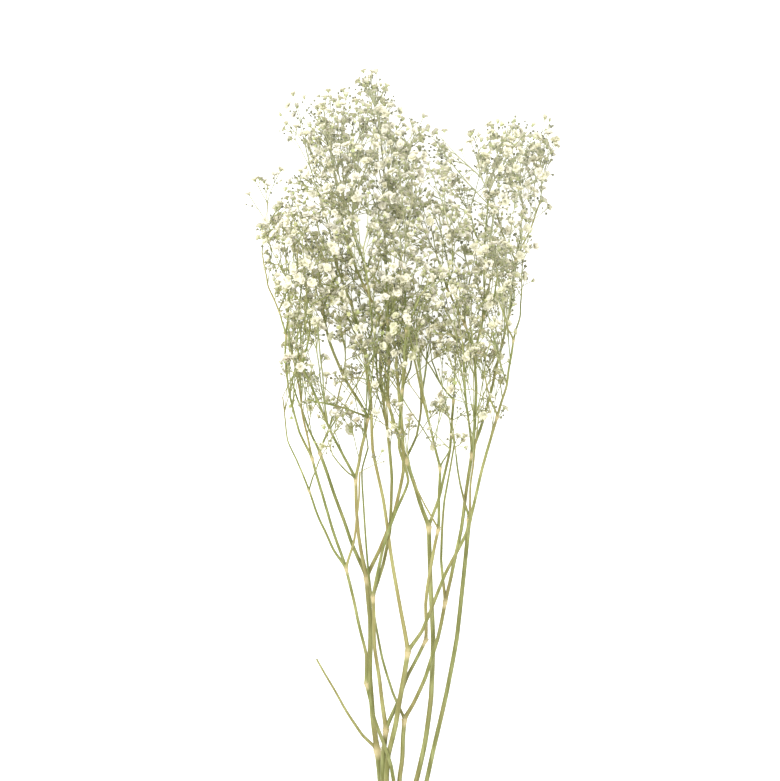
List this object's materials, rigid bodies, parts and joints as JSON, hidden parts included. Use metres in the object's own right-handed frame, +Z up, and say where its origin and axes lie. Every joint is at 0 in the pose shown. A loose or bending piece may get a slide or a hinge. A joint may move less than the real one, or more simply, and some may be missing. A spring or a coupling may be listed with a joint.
{
  "type": "gypsophila stem",
  "caption": "Cut, dried gypsophila stem lying on its side: a thin forked stem whose twigs end in an airy cloud of small pale blooms.",
  "frame": {"origin": "on the surface that the plant lies on, under the middle of its outline", "axes": "+Y along the plant towards its blooms, +Z up, +X to the right of someone who looks down on it with the blooms at the top"},
  "size_m": [0.2531, 0.6697, 0.1354],
  "materials": {
    "stem": "dry, matte",
    "floret": "dry, papery, matte"
  },
  "bodies": {
    "root": {"stem": "stem", "spray_east_a1a": "floret", "spray_east_a1b_low": "floret", "spray_east_a1b_top": "floret", "spray_east_a1c": "floret", "spray_east_a1c_low": "floret", "spray_east_a1d": "floret", "spray_east_a2": "floret", "spray_east_b1": "floret", "spray_east_b2": "floret", "spray_east_mid_a": "floret", "spray_east_mid_b1a": "floret", "spray_east_mid_b1c": "floret", "spray_east_mid_b1c_side": "floret", "spray_east_mid_b1c_top": "floret", "spray_east_mid_b1d": "floret", "spray_east_mid_b1d_low": "floret", "spray_east_mid_b1d_side": "floret", "spray_east_mid_b1f": "floret", "spray_east_mid_b1g_side": "floret", "spray_east_mid_b1h": "floret", "spray_east_mid_b1i": "floret", "spray_east_mid_b1j": "floret", "spray_east_mid_b2": "floret", "spray_far_a": "floret", "spray_far_b": "floret", "spray_far_c": "floret", "spray_inner_a1": "floret", "spray_inner_a1_low": "floret", "spray_inner_a1_side": "floret", "spray_inner_a2": "floret", "spray_inner_a2_low": "floret", "spray_inner_a2_side": "floret", "spray_inner_b1b": "floret", "spray_inner_b1c": "floret", "spray_inner_b2": "floret", "spray_middle_a": "floret", "spray_middle_a_low": "floret", "spray_middle_a_side": "floret", "spray_middle_a_top": "floret", "spray_middle_b1a": "floret", "spray_middle_b1b": "floret", "spray_middle_b2": "floret", "spray_slim_a1": "floret", "spray_slim_a2": "floret", "spray_slim_b1a": "floret", "spray_slim_b1a_side": "floret", "spray_slim_b1b": "floret", "spray_slim_b2": "floret", "spray_slim_c": "floret", "spray_west_a1": "floret", "spray_west_a2": "floret", "spray_west_b1a": "floret", "spray_west_b1b": "floret", "spray_west_b2a": "floret", "spray_west_b2b": "floret", "spray_west_b2c": "floret", "spray_west_b2c_side": "floret", "spray_west_b3": "floret", "spray_west_c": "floret"}
  },
  "joints": []
}
